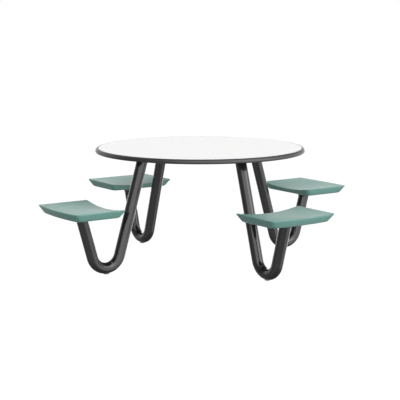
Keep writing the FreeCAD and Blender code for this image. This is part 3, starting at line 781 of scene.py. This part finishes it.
def make_seat_screws(station):
    """Screws that hold a hub to its seat."""
    sizes = settings().details
    margin = sizes.screw_margin
    hub_low, hub_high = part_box(f"swivel_hub_{station}")
    low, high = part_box(f"seat_screws_{station}")
    levels = (low[2], low[2] + SCREW_HEAD, high[2])
    head = hub_low[0] + margin - low[0]
    shape = bmesh.new()
    for x in (hub_low[0] + margin, hub_high[0] - margin):
        for y in (hub_low[1] + margin, hub_high[1] - margin):
            socket_screw(shape, (x, y), levels, head, sizes.screw_shank, sizes.screw_key)
    piece = new_piece(f"hub_screws_{station}", shape, zinc_plate, f"seat_{station}")
    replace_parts(piece, f"seat_screws_{station}")


# Operators of the pieces

class SWIVELTABLE_OT_tabletop(bpy.types.Operator):
    """Finish the laminated top and mould its edge band"""

    bl_idname = "swivel_table.tabletop"
    bl_label = "Tabletop"

    def execute(self, context):
        dress(white_laminate, "top_laminate")
        dress(chip_board, "top_core")
        dress(backer_sheet, "top_backer")
        dress(band_vinyl, "edge_band")
        make_band()
        return {"FINISHED"}


class SWIVELTABLE_OT_legs(bpy.types.Operator):
    """Paint the leg tubes and weld them to their plates"""

    bl_idname = "swivel_table.legs"
    bl_label = "Legs"

    def execute(self, context):
        dress(leg_enamel, *at_stations("leg_tube"))
        dress(plate_enamel, *at_stations("leg_mount_plate"), *at_stations("seat_plate"))
        dress(glide_nylon, *at_stations("floor_glide"))
        for station in STATIONS:
            make_welds(station)
        return {"FINISHED"}


class SWIVELTABLE_OT_swivels(bpy.types.Operator):
    """Finish the spindles, bushes and hubs"""

    bl_idname = "swivel_table.swivels"
    bl_label = "Swivels"

    def execute(self, context):
        dress(plate_enamel, *at_stations("swivel_hub"))
        dress(zinc_plate, *at_stations("spindle"), "retaining_washers", "retaining_screws")
        dress(bush_nylon, *at_stations("lower_bush"), *at_stations("upper_bush"))
        return {"FINISHED"}


class SWIVELTABLE_OT_seats(bpy.types.Operator):
    """Mould and finish the seats"""

    bl_idname = "swivel_table.seats"
    bl_label = "Seats"

    def execute(self, context):
        dress(seat_moulding, *at_stations("seat_shell"))
        for station in STATIONS:
            make_seat(station)
        return {"FINISHED"}


class SWIVELTABLE_OT_fasteners(bpy.types.Operator):
    """Make and finish the bolts, washers, inserts and screws"""

    bl_idname = "swivel_table.fasteners"
    bl_label = "Fasteners"

    def execute(self, context):
        dress(zinc_plate, "leg_bolts", "leg_bolt_washers", "top_inserts", *at_stations("seat_screws"))
        make_leg_bolts()
        for station in STATIONS:
            make_seat_screws(station)
        return {"FINISHED"}


# Stage

WHITE = (1.0, 1.0, 1.0, 1.0)
# Tone of the floor's paper, its glow as the camera sees it, and the sides of its outline.
PAPER = (0.65, 0.65, 0.65)
PAPER_GLOW = 1.03
FLOOR_SIDES = 96
# Heights on the unit sky: straight below, and where the dim ground ends.
GROUND_DEEPEST = -1.0
GROUND_EDGE = -0.6
# Width of the camera's sensor in millimetres.
SENSOR = 36.0
# Soft panels of the studio: degrees to the right of the camera, degrees above the floor, brightness,
# and the angles from the middle to the end of the even part and to the dim edge.
PANELS = (
    (0.0, -30.0, 0.8, 40.0, 110.0),
    (25.0, 35.0, 2.9, 45.0, 58.0),
    (72.0, -10.0, 2.2, 20.0, 42.0),
    (68.0, 30.0, 5.0, 17.0, 36.0),
    (180.0, -8.0, 2.4, 16.0, 38.0),
    (126.0, 0.0, 1.5, 14.0, 40.0),
    (-134.0, 8.0, 1.1, 14.0, 44.0),
)


def floor_paper():
    """White paper that the camera sees almost evenly lit, with faint shadows."""
    material, tree, shader, place = new_finish("floor_paper")
    lay_drift(tree, shader, place, PAPER,
              Scale=0.6, Darker=0.995, Lighter=1.005, Smooth=0.9, Rough=0.95)
    shader.inputs["Specular IOR Level"].default_value = 0.0
    glow = add_node(tree, "ShaderNodeEmission", {"Color": WHITE, "Strength": PAPER_GLOW})
    rays = add_node(tree, "ShaderNodeLightPath")
    share = add_node(tree, "ShaderNodeMath", {1: settings().stage.floor_white}, operation="MULTIPLY")
    tree.links.new(rays.outputs["Is Camera Ray"], share.inputs[0])
    mix = add_node(tree, "ShaderNodeMixShader")
    tree.links.new(share.outputs["Value"], mix.inputs["Fac"])
    tree.links.new(shader.outputs["BSDF"], mix.inputs[1])
    tree.links.new(glow.outputs["Emission"], mix.inputs[2])
    tree.links.new(mix.outputs["Shader"], tree.nodes["Material Output"].inputs["Surface"])
    return material


def make_floor(sizes):
    """Round floor of white paper; it lights nothing, because the sky holds the light from below."""
    mesh = bpy.data.meshes.new("studio_floor")
    shape = bmesh.new()
    bmesh.ops.create_circle(shape, cap_ends=True, segments=FLOOR_SIDES, radius=sizes.floor_radius)
    shape.to_mesh(mesh)
    shape.free()
    floor = link(bpy.data.objects.new("studio_floor", mesh))
    mesh.materials.append(finish(floor_paper))
    floor.visible_diffuse = False
    floor.visible_glossy = False


def panel_way(sizes, side, rise):
    """Direction of a panel that stands so many degrees to the right of the camera and above the floor."""
    ahead = Vector(sizes.camera_place) - Vector(sizes.camera_aim)
    turn = math.atan2(ahead.y, ahead.x) + math.radians(side)
    lift = math.radians(rise)
    return (math.cos(lift) * math.cos(turn), math.cos(lift) * math.sin(turn), math.sin(lift))


def panel_light(tree, sizes, direction):
    """Strength of the room light with the soft panels in it; where they overlap, the brightest counts."""
    glow = add_node(tree, "ShaderNodeValue").outputs["Value"]
    glow.default_value = sizes.room_glow
    for side, rise, strength, core, edge in PANELS:
        way = panel_way(sizes, side, rise)
        facing = add_node(tree, "ShaderNodeVectorMath", {1: way}, operation="DOT_PRODUCT")
        tree.links.new(direction, facing.inputs[0])
        panel = add_node(tree, "ShaderNodeMapRange", {
            "From Min": math.cos(math.radians(edge)), "From Max": math.cos(math.radians(core)),
            "To Max": strength}, interpolation_type="SMOOTHSTEP")
        tree.links.new(facing.outputs["Value"], panel.inputs["Value"])
        brighter = add_node(tree, "ShaderNodeMath", operation="MAXIMUM")
        tree.links.new(glow, brighter.inputs[0])
        tree.links.new(panel.outputs["Result"], brighter.inputs[1])
        glow = brighter.outputs["Value"]
    return glow


def make_sky(sizes):
    """Studio light with a dim ground, seen as plain white behind the table."""
    world = bpy.data.worlds.new("studio_sky")
    world.use_nodes = True
    tree = world.node_tree
    sky = tree.nodes["Background"]
    sky.inputs["Color"].default_value = WHITE
    direction = add_node(tree, "ShaderNodeTexCoord").outputs["Generated"]
    glow = panel_light(tree, sizes, direction)
    height = add_node(tree, "ShaderNodeSeparateXYZ")
    tree.links.new(direction, height.inputs["Vector"])
    ground = add_node(tree, "ShaderNodeMapRange", {
        "From Min": GROUND_DEEPEST, "From Max": GROUND_EDGE, "To Min": sizes.ground_share, "To Max": 1.0})
    tree.links.new(height.outputs["Z"], ground.inputs["Value"])
    level = add_node(tree, "ShaderNodeMath", operation="MULTIPLY")
    tree.links.new(glow, level.inputs[0])
    tree.links.new(ground.outputs["Result"], level.inputs[1])
    tree.links.new(level.outputs["Value"], sky.inputs["Strength"])
    backdrop = add_node(tree, "ShaderNodeBackground", {"Color": WHITE, "Strength": 1.0})
    rays = add_node(tree, "ShaderNodeLightPath")
    mix = add_node(tree, "ShaderNodeMixShader")
    tree.links.new(rays.outputs["Is Camera Ray"], mix.inputs["Fac"])
    tree.links.new(sky.outputs["Background"], mix.inputs[1])
    tree.links.new(backdrop.outputs["Background"], mix.inputs[2])
    tree.links.new(mix.outputs["Shader"], tree.nodes["World Output"].inputs["Surface"])
    bpy.context.scene.world = world


def make_camera(sizes):
    """Camera with a long lens, aimed at the table."""
    lens = bpy.data.cameras.new("camera")
    lens.sensor_width = SENSOR
    lens.lens = sizes.lens
    lens.shift_y = sizes.rise
    camera = link(bpy.data.objects.new("camera", lens))
    place = Vector(sizes.camera_place)
    camera.location = place
    camera.rotation_euler = (Vector(sizes.camera_aim) - place).to_track_quat("-Z", "Y").to_euler()
    bpy.context.scene.camera = camera


class SWIVELTABLE_OT_stage(bpy.types.Operator):
    """Set up the floor, the lights and the camera"""

    bl_idname = "swivel_table.stage"
    bl_label = "Stage"

    def execute(self, context):
        sizes = settings().stage
        make_floor(sizes)
        make_sky(sizes)
        make_camera(sizes)
        context.scene.view_settings.view_transform = "Standard"
        return {"FINISHED"}


# Panel and registration

class SWIVELTABLE_PT_pieces(bpy.types.Panel):
    """Lists the pieces of the table and their settings"""

    bl_label = "Swivel Seat Table"
    bl_idname = "SWIVELTABLE_PT_pieces"
    bl_space_type = "VIEW_3D"
    bl_region_type = "UI"
    bl_category = "Swivel Table"

    def draw(self, context):
        for operator in OPERATORS:
            self.layout.operator(operator.bl_idname)
        for group in (settings().colours, settings().details, settings().seats, settings().stage):
            for name in group.bl_rna.properties.keys():
                if name not in ("name", "rna_type"):
                    self.layout.prop(group, name)


OPERATORS = (
    SWIVELTABLE_OT_tabletop,
    SWIVELTABLE_OT_legs,
    SWIVELTABLE_OT_swivels,
    SWIVELTABLE_OT_seats,
    SWIVELTABLE_OT_fasteners,
    SWIVELTABLE_OT_stage,
)
CLASSES = (
    FinishColours, DetailSizes, SeatSizes, StageSizes, SwivelTable, *OPERATORS, SWIVELTABLE_PT_pieces)


def register():
    for kind in CLASSES:
        bpy.utils.register_class(kind)
    bpy.types.Scene.swivel_table = PointerProperty(type=SwivelTable)


def unregister():
    del bpy.types.Scene.swivel_table
    for kind in reversed(CLASSES):
        bpy.utils.unregister_class(kind)


def main():
    register()
    bpy.ops.swivel_table.tabletop()
    bpy.ops.swivel_table.legs()
    bpy.ops.swivel_table.swivels()
    bpy.ops.swivel_table.seats()
    bpy.ops.swivel_table.fasteners()
    bpy.ops.swivel_table.stage()


if __name__ == "__main__":
    main()
